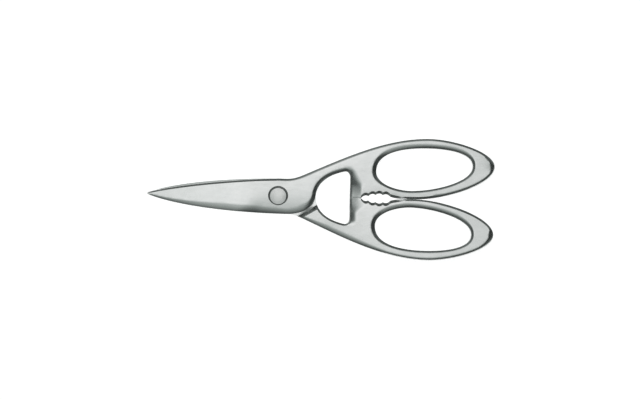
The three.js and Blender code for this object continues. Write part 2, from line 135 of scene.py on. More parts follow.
# Finger loop, and where its outline and its hole reach furthest, as shares of the hole's size
LOOP_LENGTH = 56.2
LOOP_HEIGHT = 24.95
LOOP_SHAPE = {"top": 0.55, "far": 0.6}
HOLE_SHAPE = {"left": 0.44, "top": 0.53, "right": 0.6, "bottom": 0.36}
RIM_INNER = 4.75  # the rim's width beside the centre line
CONTACT_LENGTH = 4.3

# Edges: how far each reaches in from the outline, how far down from the face, how far the face
# itself bows down towards it, whether it is round (0) or a straight bevel (1), and the radius of
# the corner at its foot
Edge = namedtuple("Edge", "inset drop crown bevel corner", defaults=(0, 0, 0.25))
TIP = Edge(0.12, 0.2)
SPINE = Edge(2.4, 0.75, bevel=0.6)
SPINE_ROOT = Edge(4.0, 0.95, crown=0.2, bevel=0.5)
BOSS = Edge(3.0, 0.65, bevel=0.4)
HEEL = Edge(4.0, 0.75, bevel=0.35)
NECK = Edge(1.3, 0.8, bevel=0.7)
NECK_REAR = Edge(1.2, 0.5, bevel=0.8)
WINDOW = Edge(2.2, 1.0, crown=0.25, bevel=0.3)
WINDOW_REAR = Edge(1.1, 0.7, bevel=0.7)
ARM = Edge(1.4, 0.58, crown=0.25, bevel=0.8)
ARM_REAR = Edge(2.8, 0.7, crown=0.3, bevel=0.4)
LIP = Edge(0.8, 0.5, bevel=0.5)
SEAM = Edge(0.2, 0.03, crown=0.1, bevel=1, corner=0.05)
JAW = Edge(0.3, 0.2, crown=0.45)
LOOP = Edge(1.8, 0.95)
LOOP_LINE = Edge(1.2, 0.62, bevel=0.8)
GROOVE = Edge(1.4, 0.79, crown=0.1, bevel=1, corner=0.02)
GROOVE_REAR = Edge(1.0, 0.56, bevel=1, corner=0.02)
HOLE_LEFT = Edge(2.3, 1.05, bevel=0.5)
HOLE_ROUND = Edge(2.6, 1.1, bevel=0.2)
HOLE_SOFT = Edge(2.7, 0.6, bevel=0.5)
HOLE_LINE = Edge(1.3, 0.8, bevel=0.6)
END = Edge(2.4, 1.1, crown=0.4, bevel=0.4)
END_REAR = Edge(2.8, 1.4, bevel=0.5)
TIP_BEVEL = Edge(0.12, 0.1, bevel=1)
POINT = Edge(0.75, 0.3, bevel=0.6)
POINT_BEVEL = Edge(0.75, 0.48, bevel=1)
CUTTING_BEVEL = Edge(1.0, 0.65, bevel=1)
CROWN_REACH = 3.2  # how far in a face bows down towards an edge
ROUND_START = math.radians(30)  # where on a quarter arc a round edge starts
CORNER_TURN = math.radians(58)  # how far the corner at an edge's foot turns
CORNER_REACH = 1 - math.cos(CORNER_TURN)

# Pivot
BARREL_RADIUS = 3.5
BARREL_FLATS = 5.8
BORE_CLEARANCE = 0.1
HEAD_CLEARANCE = 0.06
HEAD_BEVEL = {"width": 0.6, "drop": 0.36}
HEAD_CROWN = 0.22
SEAT_CHAMFER = {"width": 0.6, "drop": 0.33}
FRONT_SEAT = 2.2
REAR_SEAT = 1.8
SCREW_RADIUS = 2
THREAD = {"pitch": 0.7, "depth": 0.35}
SLOT = {"width": 1.4, "depth": 0.7}
SPRING = {"thickness": 0.35, "rise": 0.3, "margin": 0.3}
WASHER = {"thickness": 0.5, "rim": 3.4}
FACE_CLEARANCE = 0.05

# Fineness of the meshes
CURVE_STEPS = 400
HEEL_STEPS = 50
SPINE_STEPS = 200
SCALLOP_STEPS = 12
TAIL_STEPS = 16
CROWN_STEPS = 12
THREAD_STEPS = 64
STATION_SPACING = 0.5
FACE_SPACING = 0.8
MITRE_LIMIT = 2  # how much a step inwards may be lengthened at a corner
MERGE_DISTANCE = 1e-6
EDGE_RINGS = 9
CORNER_RINGS = 4
SETTLE_STEPS = 300
ROUND_SEGMENTS = 128
SHARP_ANGLE = math.radians(20)

# Places that follow from the sizes above
LIP_EDGE = HEEL_REACH + WINDOW_LENGTH
JAW_START = LIP_EDGE + LIP_LENGTH
JAW_END = JAW_START + SCALLOPS * SCALLOP_PITCH + JAW_TAIL
HOLE_START = LIP_EDGE + BRIDGE
HOLE_END = HOLE_START + LOOP_LENGTH
HOLE_LOW = HALF_GAP + RIM_INNER
HOLE_HIGH = HOLE_LOW + LOOP_HEIGHT
WASHER_FACE = WASHER["thickness"] / 2 + FACE_CLEARANCE
SPRING_FOOT = REAR_SEAT + FACE_CLEARANCE
SCREW_SEAT = SPRING_FOOT + SPRING["rise"] + SPRING["thickness"] + FACE_CLEARANCE


def lerp(start, end, share):
    return start + (end - start) * share


def smooth(share):
    """Holds a share between 0 and 1 and eases it in and out."""
    share = np.clip(share, 0, 1)
    return share**2 * (3 - 2 * share)


# Curves are four control points each.
def bend(start, start_angle, end, end_angle, start_pull=0.33, end_pull=0.33):
    """A curve that leaves one point and reaches another at given angles, in degrees. The pulls say
    how far it keeps to each angle, as shares of the distance between the points."""
    start, end = np.array(start, float), np.array(end, float)
    reach = np.linalg.norm(end - start)
    leaving, arriving = math.radians(start_angle), math.radians(end_angle)
    leave = start + reach * start_pull * np.array([math.cos(leaving), math.sin(leaving)])
    arrive = end - reach * end_pull * np.array([math.cos(arriving), math.sin(arriving)])
    return np.array([start, leave, arrive, end])


def straight(start, end):
    start, end = np.array(start, float), np.array(end, float)
    return np.array([lerp(start, end, share) for share in (0, 1 / 3, 2 / 3, 1)])


def along(curve, shares):
    t = np.asarray(shares, float)[:, None]
    weights = np.hstack([(1 - t) ** 3, 3 * t * (1 - t) ** 2, 3 * t**2 * (1 - t), t**3])
    return weights @ curve


def run(curve, edges, start=0.0, end=1.0):
    """Stations along a curve, evenly spaced: rows of x, y and the edge there, from (place, edge)
    pairs."""
    fine = np.linspace(start, end, CURVE_STEPS)
    steps = np.linalg.norm(np.diff(along(curve, fine), axis=0), axis=1)
    travelled = np.concatenate([[0], np.cumsum(steps)])
    count = max(2, round(travelled[-1] / STATION_SPACING))
    even = np.linspace(0, travelled[-1], count, endpoint=False)
    shares = np.interp(even, travelled, fine)
    position = (shares - start) / (end - start)
    places = [place for place, _ in edges]
    columns = zip(*(edge for _, edge in edges))
    values = [np.interp(position, places, column) for column in columns]
    return np.column_stack([along(curve, shares), *values])


# Outlines of a half
TIP_SPINE = (-BLADE_LENGTH, -TIP_WIDTH / 2)
TIP_EDGE = (-BLADE_LENGTH, TIP_WIDTH / 2)
BOSS_TOP = (0, BOSS_RADIUS)
NECK_END = (NECK_LENGTH, BOSS_RADIUS + NECK_RISE)
HEEL_END = (HEEL_REACH, HEEL_RISE)
LOOP_TOP = (lerp(HOLE_START, HOLE_END, LOOP_SHAPE["top"]), LOOP_SIDE)
LOOP_FAR = (HANDLE_END, lerp(HOLE_LOW, HOLE_HIGH, LOOP_SHAPE["far"]))
CONTACT = (JAW_END + CONTACT_LENGTH, PARTING)
CORNER = (LIP_EDGE - WINDOW_CORNER, WINDOW_HEIGHT)
LIP_TOP = (LIP_EDGE, WINDOW_HEIGHT - WINDOW_CORNER)
LIP_FOOT = (LIP_EDGE, PARTING)
SPINE_CURVE = bend(TIP_SPINE, -SPINE_ANGLE, (HEEL_START, -BOSS_RADIUS), 0, 0.22, 0.36)
HEEL_CURVE = bend((HEEL_START, -BOSS_RADIUS), 0, HEEL_END, HEEL_ANGLE, 0.38, 0.41)


def outline(side):
    """Stations round a half, with the material on their left, from the tip along spine, window, lip
    and loop. The edges of its outer face (1) and inner face (-1) differ."""
    window = bend(HEEL_END, HEEL_ANGLE, CORNER, WINDOW_SLOPE, 0.4, 0.34)
    turn = bend(CORNER, WINDOW_SLOPE, LIP_TOP, -90, 0.42, 0.42)
    under = bend(CONTACT, 0, LOOP_FAR, 90, 0.34, 0.21)
    over = bend(LOOP_FAR, 90, LOOP_TOP, 180, 0.21, 0.35)
    arm = bend(NECK_END, ARM_ANGLE, LOOP_TOP, 0)
    neck = bend(BOSS_TOP, 0, NECK_END, ARM_ANGLE, 0.36, 0.48)
    cutting_edge = bend(TIP_EDGE, EDGE_ANGLE, BOSS_TOP, EDGE_END_ANGLE, 0.2, 0.38)
    if side > 0:
        window_edge, groove, under_edge, end_edge = WINDOW, GROOVE, LOOP, END
        over_edge, arm_edge, neck_edge = LOOP_LINE, ARM, ARM
    else:
        window_edge, groove, under_edge, end_edge = WINDOW_REAR, GROOVE_REAR, LOOP_LINE, END_REAR
        over_edge, arm_edge, neck_edge = LOOP, ARM_REAR, NECK_REAR
    return np.vstack([
        run(SPINE_CURVE, [
            (0, TIP), (0.05, POINT), (0.35, SPINE), (0.6, SPINE_ROOT), (0.8, SPINE_ROOT), (1, BOSS),
        ]),
        run(HEEL_CURVE, [(0, BOSS), (0.5, HEEL), (1, window_edge)]),
        run(window, [(0, window_edge), (1, window_edge)]),
        run(turn, [(0, window_edge), (1, LIP)]),
        run(straight(LIP_TOP, LIP_FOOT), [(0, LIP), (0.9, LIP), (1, SEAM)]),
        run(straight(LIP_FOOT, CONTACT), [
            (0, SEAM), (0.14, SEAM), (0.24, JAW), (0.6, JAW), (0.85, groove), (1, groove),
        ]),
        run(under, [
            (0, groove), (0.15, groove), (0.3, under_edge), (0.85, under_edge), (1, end_edge),
        ]),
        run(over, [(0, end_edge), (0.35, over_edge), (1, over_edge)]),
        run(arm, [
            (0, over_edge), (0.3, over_edge), (0.6, arm_edge), (0.8, arm_edge), (1, neck_edge),
        ], 1, 0),
        run(neck, [(0, neck_edge), (1, NECK)], 1, 0),
        run(cutting_edge, [
            (0, NECK), (0.15, CUTTING_BEVEL), (0.7, CUTTING_BEVEL), (0.95, POINT_BEVEL),
            (1, TIP_BEVEL),
        ], 1, 0),
    ])


def finger_hole(side):
    """Stations round the egg-shaped finger hole, clockwise, with the edges of the outer (1) or
    inner face (-1)."""
    left = (HOLE_START, lerp(HOLE_LOW, HOLE_HIGH, HOLE_SHAPE["left"]))
    top = (lerp(HOLE_START, HOLE_END, HOLE_SHAPE["top"]), HOLE_HIGH)
    right = (HOLE_END, lerp(HOLE_LOW, HOLE_HIGH, HOLE_SHAPE["right"]))
    bottom = (lerp(HOLE_START, HOLE_END, HOLE_SHAPE["bottom"]), HOLE_LOW)
    rising = bend(left, 90, top, 0, 0.35, 0.4)
    falling = bend(top, 0, right, -90, 0.36, 0.3)
    returning = bend(right, -90, bottom, 180, 0.24, 0.33)
    closing = bend(bottom, 180, left, 90, 0.34, 0.33)
    top_edge, bottom_edge = (HOLE_ROUND, HOLE_LINE) if side > 0 else (HOLE_LINE, HOLE_ROUND)
    upper_left, lower_left = (HOLE_SOFT, HOLE_LINE) if side > 0 else (HOLE_LINE, HOLE_SOFT)
    return np.vstack([
        run(rising, [(0, HOLE_LEFT), (0.45, upper_left), (1, top_edge)]),
        run(falling, [(0, top_edge), (0.6, top_edge), (1, HOLE_LINE)]),
        run(returning, [(0, HOLE_LINE), (0.4, bottom_edge), (1, bottom_edge)]),
        run(closing, [(0, bottom_edge), (0.55, lower_left), (1, HOLE_LEFT)]),
    ])


def lip_depth(points, side):
    """Depth of the hollow beside the window. On the outer face it falls straight from a crease
    towards the lip, and above that from a slanting line that goes round the window's corner. On the
    inner face it rolls off."""
    x, y = points[:, 0] - LIP_EDGE, np.abs(points[:, 1])
    if side > 0:
        up = y - LIP_DISH["bend"]
        slope = lerp(LIP_DISH["slope"], LIP_DISH["top_slope"], np.clip(y / LIP_DISH["bend"], 0, 1))
        lower = slope * np.clip(LIP_DISH["length"] - x, 0, None)
        start = LIP_DISH["start"] - LIP_DISH["slant"] * up
        reach = np.clip(start - x, 0, None)
        bent = np.minimum(reach, LIP_DISH["steepest"] / LIP_DISH["curve"])
        upper = LIP_DISH["curve"] * bent * (reach - bent / 2)
        depth = lerp(lower, upper, smooth(up / LIP_DISH["blend"] + 0.5))
        fade = smooth((LIP_DISH["height"] - y) / LIP_DISH["blend"])
    else:
        share = smooth((y - LIP_ROLL["bend"]) / LIP_ROLL["blend"])
        length = lerp(LIP_ROLL["length"], LIP_ROLL["corner_length"], share)
        slope = lerp(LIP_ROLL["slope"], LIP_ROLL["corner_slope"], share)
        depth = slope * length * np.clip(1 - x / length, 0, None) ** LIP_ROLL["power"]
        fade = smooth((LIP_ROLL["height"] - y) / LIP_ROLL["fade"])
    return depth * fade * np.clip(1 + x / WINDOW_CORNER, 0, 1)


def face_height(points, side):
    """Height of a face: bowed over the boss, ground flat from there to the tip, rising a little to
    the handle, and hollow beside the window."""
    x, y = points[:, 0], points[:, 1]
    across = np.clip((y + BOSS_RADIUS) / (2 * BOSS_RADIUS), 0, 1)
    grind = lerp(SPINE_GRIND, EDGE_GRIND, across)
    past = -grind - x
    blended = np.clip(past + GRIND_BLEND, 0, None) ** 2 / (4 * GRIND_BLEND)
    ground = np.where(past > GRIND_BLEND, past, blended)
    rise = smooth((x - HEEL_START) / (HEEL_REACH - HEEL_START))
    boss = lerp(BOSS_THICKNESS, HANDLE_TOP, rise)
    thinned = (BOSS_THICKNESS - TIP_THICKNESS) * np.clip(ground / (BLADE_LENGTH - grind), 0, 1)
    down = np.clip((BOSS_BOW["start"] - y) / (BOSS_BOW["start"] + BOSS_RADIUS), 0, 1)
    bow = BOSS_BOW["drop"] * down**2 * smooth(-past / BOSS_BOW["fade"]) * (side > 0)
    return boss - bow - thinned - lip_depth(points, side)


# Meshes
class Skin:
    """Collects the points and faces of a closed form."""

    def __init__(self):
        self.points = []
        self.faces = []
        self.count = 0

    def add(self, points):
        points = np.asarray(points, float).reshape(-1, 3)
        self.points.append(points)
        self.count += len(points)
        return np.arange(self.count - len(points), self.count)

    def band(self, first, second):
        """Joins two closed rings of as many points, the second lying above or inside the first."""
        corners = [first, np.roll(first, -1), np.roll(second, -1), second]
        self.faces += np.column_stack(corners).tolist()

    def object(self, name):
        mesh = bpy.data.meshes.new(name)
        mesh.from_pydata(np.vstack(self.points).tolist(), [], self.faces)
        made = bpy.data.objects.new(name, mesh)
        bpy.context.scene.collection.objects.link(made)
        return made


def inward(points):
    """Directions into the material at each station, lengthened at corners so that both sides move
    in evenly."""
    step = np.roll(points, -1, axis=0) - points
    step /= np.linalg.norm(step, axis=1, keepdims=True)
    after = np.column_stack([-step[:, 1], step[:, 0]])
    middle = after + np.roll(after, 1, axis=0)
    middle /= np.linalg.norm(middle, axis=1, keepdims=True)
    return middle / np.maximum(1 / MITRE_LIMIT, np.sum(middle * after, axis=1))[:, None]


def edge_rings(stations, side):
    """Rings of points that round an outline off, from its side up to its face, or down for
    side = -1. A small round leads from the side into the edge."""
    points = stations[:, :2]
    inset, drop, crown, bevel, corner = stations[:, 2:].T
    direction = inward(points)
    steps = []
    for turn in np.linspace(0, CORNER_TURN, CORNER_RINGS, endpoint=False):
        fall = drop + corner * (math.sin(CORNER_TURN) - math.sin(turn))
        steps.append((corner * (1 - math.cos(turn)), fall))
    for share in np.linspace(0, 1, EDGE_RINGS + 1):
        turn = lerp(ROUND_START, math.pi / 2, share)
        reach = inset * lerp(1 - math.cos(turn) / math.cos(ROUND_START), share, bevel)
        rise = (math.sin(turn) - math.sin(ROUND_START)) / (1 - math.sin(ROUND_START))
        steps.append((corner * CORNER_REACH + reach, drop * (1 - lerp(rise, share, bevel))))
    rings = []
    for reach, fall in steps:
        place = points + direction * reach[:, None]
        height = np.maximum(face_height(place, side) - fall, SHARP_LEVEL)
        height = height - crown * np.exp(-reach / CROWN_REACH)
        rings.append(np.column_stack([place, side * height]))
    return rings


def inside(points, loops):
    """Which points lie within the loops, by counting how often a line from each crosses them."""
    x, y = points.T
    crossings = np.zeros(len(points), int)
    for loop in loops:
        for (x0, y0), (x1, y1) in zip(loop, np.roll(loop, -1, axis=0)):
            if y0 != y1:
                crossings += ((y0 > y) != (y1 > y)) & (x < lerp(x0, x1, (y - y0) / (y1 - y0)))
    return crossings % 2 == 1


def face_points(loops):
    """Evenly scattered points within the loops, clear of their sides."""
    rim = np.vstack(loops)
    low, high = rim.min(axis=0), rim.max(axis=0)
    rows = np.arange(low[1], high[1], FACE_SPACING * math.sqrt(3) / 2)
    columns = np.arange(low[0], high[0], FACE_SPACING)
    grid = np.array([
        (x + (i % 2) * FACE_SPACING / 2, y) for i, y in enumerate(rows) for x in columns
    ])
    grid = grid[inside(grid, loops)]
    tree = KDTree(len(rim))
    for i, (x, y) in enumerate(rim):
        tree.insert((x, y, 0), i)
    tree.balance()
    clear = [tree.find((x, y, 0))[2] > FACE_SPACING / 2 for x, y in grid]
    return grid[clear]


def cover(skin, rings, drops, side):
    """Covers a face within its innermost rings. It bows down towards them by the drops given
    there."""
    loops = [ring[:, :2] for _, ring in rings]
    rim = np.vstack(loops)
    middle = face_points(loops)
    points = np.vstack([rim, middle])
    edges = []
    first = 0
    for loop in loops:
        edges += [(first + i, first + (i + 1) % len(loop)) for i in range(len(loop))]
        first += len(loop)
    corners = [Vector(point) for point in points]
    made, _, triangles, origin, _, _ = delaunay_2d_cdt(corners, edges, [], 0, MERGE_DISTANCE)
    assert len(made) == len(points)
    order = np.array([sources[0] for sources in origin])
    triangles = order[np.array(triangles)]
    triangles = triangles[inside(points[triangles].mean(axis=1), loops)]

    pairs = np.vstack([triangles[:, [0, 1]], triangles[:, [1, 2]], triangles[:, [2, 0]]])
    start, end = np.vstack([pairs, pairs[:, ::-1]]).T
    neighbours = np.bincount(start, minlength=len(points))
    pull = FACE_SPACING**2 / (4 * CROWN_REACH**2)
    drop = np.concatenate([*drops, np.zeros(len(middle))])
    for _ in range(SETTLE_STEPS):
        mean = np.bincount(start, weights=drop[end], minlength=len(points)) / neighbours
        drop[len(rim):] = mean[len(rim):] / (1 + pull)

    height = face_height(middle, side) - drop[len(rim):]
    inner = skin.add(np.column_stack([middle, side * height]))
    index = np.concatenate([*(ids for ids, _ in rings), inner])
    a, b, c = points[triangles].transpose(1, 0, 2)
    upward = np.cross(b - a, c - a) > 0
    flip = upward != (side > 0)
    triangles[flip] = triangles[flip][:, ::-1]
    skin.faces += index[triangles].tolist()


def forging(name):
    """A half before it is machined: a plate with rounded edges and bowed faces."""
    skin = Skin()
    feet = []
    for side in (1, -1):
        faces = []
        drops = []
        sides = []
        for stations in (outline(side), finger_hole(side)):
            rings = edge_rings(stations, side)
            ids = [skin.add(ring) for ring in rings]
            for lower, upper in zip(ids, ids[1:]):
                skin.band(*((lower, upper) if side > 0 else (upper, lower)))
            faces.append((ids[-1], rings[-1]))
            inset, _, crown, _, corner = stations[:, 2:].T
            drops.append(crown * np.exp(-(corner * CORNER_REACH + inset) / CROWN_REACH))
            sides.append(ids[0])
        cover(skin, faces, drops, side)
        feet.append(sides)
    for upper, lower in zip(*feet):
        skin.band(lower, upper)
    return skin.object(name)


def turned(name, profile):
    """A round form about the pivot axis, from (radius, height) pairs that run upwards on its outer
    side. A radius may differ round the form. The profile starts and ends on the axis, or closes on
    itself."""
    angles = np.linspace(0, 2 * math.pi, ROUND_SEGMENTS, endpoint=False)
    skin = Skin()
    closed = profile[0] == profile[-1]
    rings = []
    for radius, height in profile[:-1] if closed else profile:
        if np.isscalar(radius) and radius == 0:
            rings.append(skin.add([(0, 0, height)]))
        else:
            level = np.full(ROUND_SEGMENTS, height)
            circle = [radius * np.cos(angles), radius * np.sin(angles), level]
            rings.append(skin.add(np.column_stack(circle)))
    for first, second in zip(rings, rings[1:] + ([rings[0]] if closed else [])):
        if len(first) == 1:
            skin.faces += [(first[0], a, b) for a, b in zip(np.roll(second, -1), second)]
        elif len(second) == 1:
            skin.faces += [(a, b, second[0]) for a, b in zip(first, np.roll(first, -1))]
        else:
            skin.band(first, second)
    return skin.object(name)


def loft(name, rings):
    """A closed form through rings of as many points, each lying above the one before and running
    anticlockwise."""
    skin = Skin()
    ids = [skin.add(ring) for ring in rings]
    for lower, upper in zip(ids, ids[1:]):
        skin.band(lower, upper)
    skin.faces += [ids[0][::-1].tolist(), ids[-1].tolist()]
    return skin.object(name)


def cylinder(name, radius, low, high):
    return turned(name, [(0, low), (radius, low), (radius, high), (0, high)])


def block(name, width, depth, low, high):
    x, y = width / 2, depth / 2
    corners = [(-x, -y), (x, -y), (x, y), (-x, y)]
    return loft(name, [[(*corner, z) for corner in corners] for z in (low, high)])


def scoop(name, centre, width, depth, side):
    """The end of an ellipsoid that is as wide as given where it meets a face. The centre lies in
    the face."""
    height = SCOOP_FLATNESS * depth
    swell = 1 / math.sqrt(1 - (1 - 1 / SCOOP_FLATNESS) ** 2)
    turns = np.linspace(-math.pi / 2, math.pi / 2, ROUND_SEGMENTS + 1)[1:-1]
    profile = [(0, -1), *((math.cos(turn), math.sin(turn)) for turn in turns), (0, 1)]
    made = turned(name, profile)
    place = Matrix.Translation((centre[0], centre[1], centre[2] + side * (height - depth)))
    size = Matrix.Diagonal((width[0] * swell, width[1] * swell, height, 1))
    made.data.transform(place @ size)
    return made


def cut(body, *cutters, operation="DIFFERENCE"):
    """Takes the cutters out of a body, or keeps what they share with it."""
    for cutter in cutters:
        modifier = body.modifiers.new(cutter.name, "BOOLEAN")
        modifier.operation = operation
        modifier.solver = "MANIFOLD"
        modifier.object = cutter
    shaped = body.evaluated_get(bpy.context.evaluated_depsgraph_get())
    mesh = bpy.data.meshes.new_from_object(shaped)
    body.modifiers.clear()
    body.data = mesh
    for cutter in cutters:
        bpy.data.objects.remove(cutter)
    return body


# Cuts in a half
def lap_cut():
    """Everything behind the shoulder line, so that the other half fits there."""
    angle = math.radians(SHOULDER_ANGLE)
    away = np.array([math.sin(angle), math.cos(angle)])
    beside = np.array([away[1], -away[0]])
    mirrored_heel = along(HEEL_CURVE, np.linspace(0, 1, HEEL_STEPS)) * (1, -1)
    shoulder = (mirrored_heel @ away).max() + SHOULDER_CLEARANCE
    far = 2 * BLADE_LENGTH
    mouth = HANDLE_TOP - SHOULDER_CHAMFER["drop"]
    top = shoulder + SHOULDER_DRAFT
    flare = SHOULDER_CHAMFER["width"] / SHOULDER_CHAMFER["drop"]
    ease = HALF_GAP - SHOULDER_EASE["rise"]
    levels = [
        (-CLEAR_HEIGHT, top + flare * (CLEAR_HEIGHT - mouth)),
        (-mouth, top),
        (ease - SHOULDER_FOOT["rise"], shoulder + SHOULDER_FOOT["width"]),
        (ease, shoulder),
        (HALF_GAP, shoulder - SHOULDER_EASE["width"]),
    ]
    rings = []
    for height, reach in levels:
        corners = [(-far, far), (-far, -far), (reach, -far), (reach, far)]
        rings.append([(*(a * away + b * beside), height) for a, b in corners])
    return loft("lap_cut", [ring[::-1] for ring in rings])


def spine_cut():
    """A bevel along the spine on the inner face, which runs out towards the tip and the heel."""
    shares = np.linspace(SPINE_BEVEL["start"], SPINE_BEVEL["end"], SPINE_STEPS)
    line = along(SPINE_CURVE, shares)
    step = np.gradient(line, axis=0)
    step /= np.linalg.norm(step, axis=1, keepdims=True)
    into = np.column_stack([-step[:, 1], step[:, 0]])
    ends = np.minimum(line[:, 0] + BLADE_LENGTH, HEEL_START - line[:, 0])
    width = SPINE_BEVEL["width"] * np.clip(2 * ends / SPINE_BEVEL["fade"] - 1, -1, 1)
    far = -3 * BOSS_RADIUS
    rings = []
    # The bevel meets the inner face at 0 and the spine at 1. The cut goes past both.
    for share in (-1, 1.2):
        shifted = line + into * (width - SPINE_BEVEL["width"] * share)[:, None]
        corners = [(line[0, 0], far), (line[-1, 0], far), *shifted[::-1]]
        rings.append([(x, y, HALF_GAP + SPINE_BEVEL["drop"] * share) for x, y in corners])
    return loft("spine_cut", rings)


def jaw_line():
    """The line of the teeth, which bows away from the centre line, with a round bite between each
    two teeth."""
    def tooth(i):
        bow = math.sin(math.pi * i / (SCALLOPS + 1))
        return np.array([JAW_START + i * SCALLOP_PITCH, PARTING + JAW_HEIGHT * bow])

    line = []
    for i in range(SCALLOPS):
        for share in np.linspace(0, 1, SCALLOP_STEPS, endpoint=False):
            bite = 4 * SCALLOP_DEPTH * share * (1 - share)
            line.append(lerp(tooth(i), tooth(i + 1), share) + (0, bite))
    tail = bend(tooth(SCALLOPS), -JAW_TAIL_ANGLE, (JAW_END, PARTING), 0, 0.25, 0.45)
    return np.vstack([line, along(tail, np.linspace(0, 1, TAIL_STEPS))])


def jaw_cut():
    """The jaw's opening, wider towards both faces so that the teeth have bevelled edges. The bevels
    narrow along the tail."""
    width, drop, least = JAW_BEVEL["width"], JAW_BEVEL["drop"], JAW_BEVEL["least"]
    line = jaw_line()[::-1]
    mouth = [(HANDLE_TOP - drop, 0), (HANDLE_TOP, width), (HANDLE_TOP + drop, 2 * width)]
    rings = []
    for height, shift in [(-z, shift) for z, shift in reversed(mouth)] + mouth:
        upper = [(x, y + shift * min(1, (JAW_END - x) / JAW_TAIL + least), height) for x, y in line]
        ends = [(x, -2 * HALF_GAP, height) for x in (JAW_START, JAW_END)]
        rings.append(ends + upper)
    return loft("jaw_cut", rings)


def seat_cut(seat):
    """The recess for a pivot head, with a chamfered mouth."""
    radius = HEAD_RADIUS + HEAD_CLEARANCE
    mouth = BOSS_THICKNESS - SEAT_CHAMFER["drop"]
    flare = SEAT_CHAMFER["width"] / SEAT_CHAMFER["drop"]
    return turned("seat_cut", [
        (0, seat),
        (radius, seat),
        (radius, mouth),
        (radius + flare * (CLEAR_HEIGHT - mouth), CLEAR_HEIGHT),
        (0, CLEAR_HEIGHT),
    ])


def bore_cut(keyed):
    """The hole for the barrel, with two flats where the barrel is held."""
    radius = BARREL_RADIUS + BORE_CLEARANCE
    bore = cylinder("bore_cut", radius, -CLEAR_HEIGHT, CLEAR_HEIGHT)
    if keyed:
        width = BARREL_FLATS + 2 * BORE_CLEARANCE
        flats = block("flats", 4 * BARREL_RADIUS, width, -CLEAR_HEIGHT - 1, CLEAR_HEIGHT + 1)
        cut(bore, flats, operation="INTERSECT")
    return bore


def washer_cut():
    """The recess for the bearing washer on the inner face."""
    radius = BARREL_RADIUS + WASHER["rim"] + HEAD_CLEARANCE
    return cylinder("washer_cut", radius, -CLEAR_HEIGHT, WASHER_FACE)


def hollow_grind():
    centre = (-HOLLOW["start"] - HOLLOW["length"] / 2, 0, HALF_GAP)
    width = (HOLLOW["length"] / 2, HOLLOW["width"] / 2)
    return scoop("hollow_grind", centre, width, HOLLOW["depth"], -1)


def half(name, seat, keyed):
    """A finished half, whose bore is keyed where the stud is held in it."""
    return cut(
        forging(name), lap_cut(), seat_cut(seat), bore_cut(keyed), washer_cut(), jaw_cut(),
        spine_cut(), hollow_grind(),
    )


# Pivot pieces
def head_profile(seat):
    """The outer side of a pivot head, upwards from its seat, over its bevel to the middle of its
    shallow crown."""
    rim = HEAD_RADIUS - HEAD_BEVEL["width"]
    shares = np.linspace(1, 0, CROWN_STEPS, endpoint=False)
    crown = [(rim * share, HEAD_TOP - HEAD_CROWN * share**2) for share in shares]
    foot = HEAD_TOP - HEAD_CROWN - HEAD_BEVEL["drop"]
    return [(HEAD_RADIUS, seat), (HEAD_RADIUS, foot), *crown, (0, HEAD_TOP)]


def pivot_stud(name):
    """The front button, whose barrel both halves turn on. Two flats hold it in the front half."""
    seat = FRONT_SEAT + FACE_CLEARANCE
    thread_end = BORE_CLEARANCE - SCREW_END
    body = turned(name, [
        (0, thread_end),
        (SCREW_RADIUS, thread_end),
        (SCREW_RADIUS, BARREL_END),
        (BARREL_RADIUS, BARREL_END),
        (BARREL_RADIUS, seat),
        *head_profile(seat),
    ])
    flats = []
    for side in (1, -1):
        flat = block("flat", 3 * BARREL_RADIUS, BARREL_RADIUS, WASHER_FACE, seat)
        middle = (0, side * (BARREL_FLATS + BARREL_RADIUS) / 2, 0)
        flat.data.transform(Matrix.Translation(middle))
        flats.append(flat)
    return cut(body, *flats)


def pivot_screw(name):
    """The rear screw, drawn with its head up, with a real thread inside the barrel."""
    outer = SCREW_RADIUS - BORE_CLEARANCE
    angles = np.linspace(0, 1, ROUND_SEGMENTS, endpoint=False)
    low, high = SCREW_END, SCREW_SEAT
    pitch = THREAD["pitch"]
    shank = []
    for height in np.linspace(low, high, THREAD_STEPS):
        fade = min(1, (height - low) / pitch, (high - height) / pitch)
        turn = (height / pitch - angles) % 1
        depth = THREAD["depth"] * lerp(1, np.abs(2 * turn - 1), max(0, fade))
        shank.append((outer - depth, height))
    root = outer - THREAD["depth"]
    body = turned(name, [(0, low), *shank, (root, high), *head_profile(SCREW_SEAT)])
    bottom = BOSS_THICKNESS - SLOT["depth"]
    return cut(body, block("slot", 4 * HEAD_RADIUS, SLOT["width"], bottom, CLEAR_HEIGHT))


def spring_washer(name):
    """The coned washer under the screw's head, drawn with the head's side up."""
    inner = BARREL_RADIUS + BORE_CLEARANCE
    outer = HEAD_RADIUS - SPRING["margin"]
    raised = SPRING_FOOT + SPRING["rise"]
    thickness = SPRING["thickness"]
    return turned(name, [
        (inner, raised),
        (outer, SPRING_FOOT),
        (outer, SPRING_FOOT + thickness),
        (inner, raised + thickness),
        (inner, raised),
    ])


def bearing_washer(name):
    """The thin ring between the two bosses."""
    inner = BARREL_RADIUS + BORE_CLEARANCE
    outer = BARREL_RADIUS + WASHER["rim"]
    face = WASHER["thickness"] / 2
    return turned(name, [
        (inner, -face), (outer, -face), (outer, face), (inner, face), (inner, -face),
    ])


# Patterns in the metal: cells a metre along each axis, and heights in metres
BRUSHING = (260, 11000, 11000)
GRINDING = (9000, 320, 9000)
GRINDING_FADE = 12 * MM
LINE_HEIGHT = 1.2e-6
CLOUDS = (55, 55, 55)
TURNED_CLOUDS = (240, 240, 240)
SMEARS = (160, 420, 420)
PITS = (5200, 5200, 5200)
PIT_HEIGHT = -2e-6
RING_HEIGHT = 2e-6

